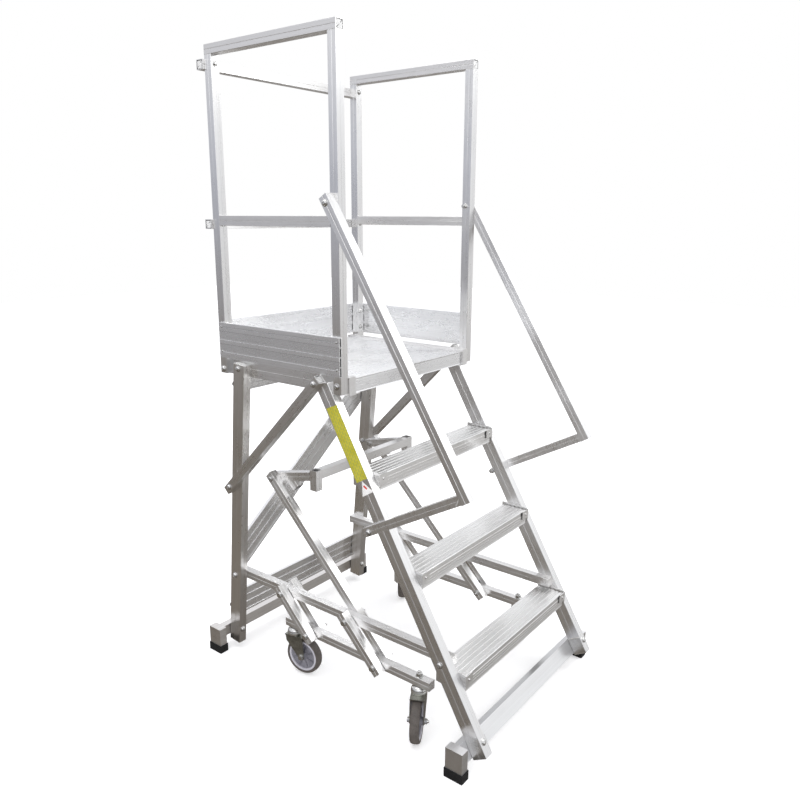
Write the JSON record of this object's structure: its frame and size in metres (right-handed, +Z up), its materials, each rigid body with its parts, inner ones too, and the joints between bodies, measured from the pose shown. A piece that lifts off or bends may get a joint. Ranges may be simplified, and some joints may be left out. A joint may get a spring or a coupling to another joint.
{
  "type": "mobile work platform",
  "caption": "Aluminium mobile work platform with an inclined tread stair, guarded deck with toe boards, handrails and a lever-lowered castor carriage.",
  "frame": {"origin": "middle of the outline on the floor, under the feet", "axes": "+Z up, +X to the right of a person who stands at the foot of the stair and faces it, stair faces -Y"},
  "size_m": [0.9254, 1.2958, 2.317],
  "materials": {
    "tube_aluminium": "mill-finish extruded tube",
    "ribbed_aluminium": "ribbed extruded plank",
    "zinc_steel": "zinc plated pressed steel",
    "foot_rubber": "matte black",
    "tyre": "dark grey tread on a grey hub"
  },
  "bodies": {
    "frame": {"base_rail_left": "tube_aluminium", "base_rail_right": "tube_aluminium", "deck_plank_front": "ribbed_aluminium", "deck_plank_middle": "ribbed_aluminium", "deck_plank_rear": "ribbed_aluminium", "front_foot_beam": "tube_aluminium", "handrail_left": "tube_aluminium", "handrail_right": "tube_aluminium", "mid_rail_left": "tube_aluminium", "mid_rail_right": "tube_aluminium", "post_front_left": "tube_aluminium", "post_front_right": "tube_aluminium", "post_rear_left": "tube_aluminium", "post_rear_right": "tube_aluminium", "rear_board_low": "ribbed_aluminium", "rear_board_top": "ribbed_aluminium", "rear_diagonal": "ribbed_aluminium", "rear_foot_beam": "tube_aluminium", "rear_leg_left": "tube_aluminium", "rear_leg_right": "tube_aluminium", "rear_mid_rail": "tube_aluminium", "rear_top_rail": "tube_aluminium", "rubber_foot_front_left": "foot_rubber", "rubber_foot_front_right": "foot_rubber", "rubber_foot_rear_left": "foot_rubber", "rubber_foot_rear_right": "foot_rubber", "side_beam_left": "tube_aluminium", "side_beam_right": "tube_aluminium", "side_brace_left": "tube_aluminium", "side_brace_right": "tube_aluminium", "stringer_left": "tube_aluminium", "stringer_right": "tube_aluminium", "toe_board_left": "ribbed_aluminium", "toe_board_rear": "ribbed_aluminium", "toe_board_right": "ribbed_aluminium", "top_rail_left": "tube_aluminium", "top_rail_right": "tube_aluminium", "tread_lower": "ribbed_aluminium", "tread_middle": "ribbed_aluminium", "tread_upper": "ribbed_aluminium"},
    "lever": {"long_lever_left": "tube_aluminium", "long_lever_right": "tube_aluminium", "lever_handle": "tube_aluminium", "outer_link_front_left": "tube_aluminium", "outer_link_front_right": "tube_aluminium"},
    "rear_link_left": {"inner_link_left": "tube_aluminium", "outer_link_rear_left": "tube_aluminium"},
    "castor_rail_left": {"castor_rail_left": "tube_aluminium"},
    "castor_front_left": {"castor_fork_front_left": "zinc_steel"},
    "wheel_front_left": {"castor_wheel_front_left": "tyre"},
    "castor_rear_left": {"castor_fork_rear_left": "zinc_steel"},
    "wheel_rear_left": {"castor_wheel_rear_left": "tyre"},
    "rear_link_right": {"inner_link_right": "tube_aluminium", "outer_link_rear_right": "tube_aluminium"},
    "castor_rail_right": {"castor_rail_right": "tube_aluminium"},
    "castor_front_right": {"castor_fork_front_right": "zinc_steel"},
    "wheel_front_right": {"castor_wheel_front_right": "tyre"},
    "castor_rear_right": {"castor_fork_rear_right": "zinc_steel"},
    "wheel_rear_right": {"castor_wheel_rear_right": "tyre"}
  },
  "joints": [
    {"name": "castor_lift", "type": "hinge", "parent": "frame", "child": "lever", "pos_m": [0, -0.04391, 0.337], "axis": [1, 0, 0], "range_deg": [0, 25]},
    {"name": "rear_link_left", "type": "hinge", "parent": "frame", "child": "rear_link_left", "pos_m": [-0.343, 0.28509, 0.337], "axis": [1, 0, 0], "range_deg": [0, 25]},
    {"name": "rail_level_left", "type": "hinge", "parent": "lever", "child": "castor_rail_left", "pos_m": [-0.343, -0.17491, 0.206], "axis": [1, 0, 0], "range_deg": [-25, 0]},
    {"name": "rear_link_right", "type": "hinge", "parent": "frame", "child": "rear_link_right", "pos_m": [0.343, 0.28509, 0.337], "axis": [1, 0, 0], "range_deg": [0, 25]},
    {"name": "rail_level_right", "type": "hinge", "parent": "lever", "child": "castor_rail_right", "pos_m": [0.343, -0.17491, 0.206], "axis": [1, 0, 0], "range_deg": [-25, 0]},
    {"name": "swivel_front_left", "type": "hinge", "parent": "castor_rail_left", "child": "castor_front_left", "pos_m": [-0.343, -0.34391, 0.16], "axis": [0, 0, 1], "continuous": true},
    {"name": "roll_front_left", "type": "hinge", "parent": "castor_front_left", "child": "wheel_front_left", "pos_m": [-0.38097, -0.36409, 0.0785], "axis": [0.4695, -0.8829, 0], "continuous": true},
    {"name": "swivel_rear_left", "type": "hinge", "parent": "castor_rail_left", "child": "castor_rear_left", "pos_m": [-0.343, 0.26109, 0.16], "axis": [0, 0, 1], "continuous": true},
    {"name": "roll_rear_left", "type": "hinge", "parent": "castor_rear_left", "child": "wheel_rear_left", "pos_m": [-0.33553, 0.21875, 0.0785], "axis": [0.9848, 0.1736, 0], "continuous": true},
    {"name": "swivel_front_right", "type": "hinge", "parent": "castor_rail_right", "child": "castor_front_right", "pos_m": [0.343, -0.34391, 0.16], "axis": [0, 0, 1], "continuous": true},
    {"name": "roll_front_right", "type": "hinge", "parent": "castor_front_right", "child": "wheel_front_right", "pos_m": [0.38097, -0.32372, 0.0785], "axis": [-0.4695, 0.8829, 0], "continuous": true},
    {"name": "swivel_rear_right", "type": "hinge", "parent": "castor_rail_right", "child": "castor_rear_right", "pos_m": [0.343, 0.26109, 0.16], "axis": [0, 0, 1], "continuous": true},
    {"name": "roll_rear_right", "type": "hinge", "parent": "castor_rear_right", "child": "wheel_rear_right", "pos_m": [0.38024, 0.28259, 0.0785], "axis": [-0.5, 0.866, 0], "continuous": true}
  ],
  "couplings": [
    {"joint": "rear_link_left", "follows": "castor_lift", "ratio": 1},
    {"joint": "rail_level_left", "follows": "castor_lift", "ratio": -1},
    {"joint": "rear_link_right", "follows": "castor_lift", "ratio": 1},
    {"joint": "rail_level_right", "follows": "castor_lift", "ratio": -1}
  ]
}
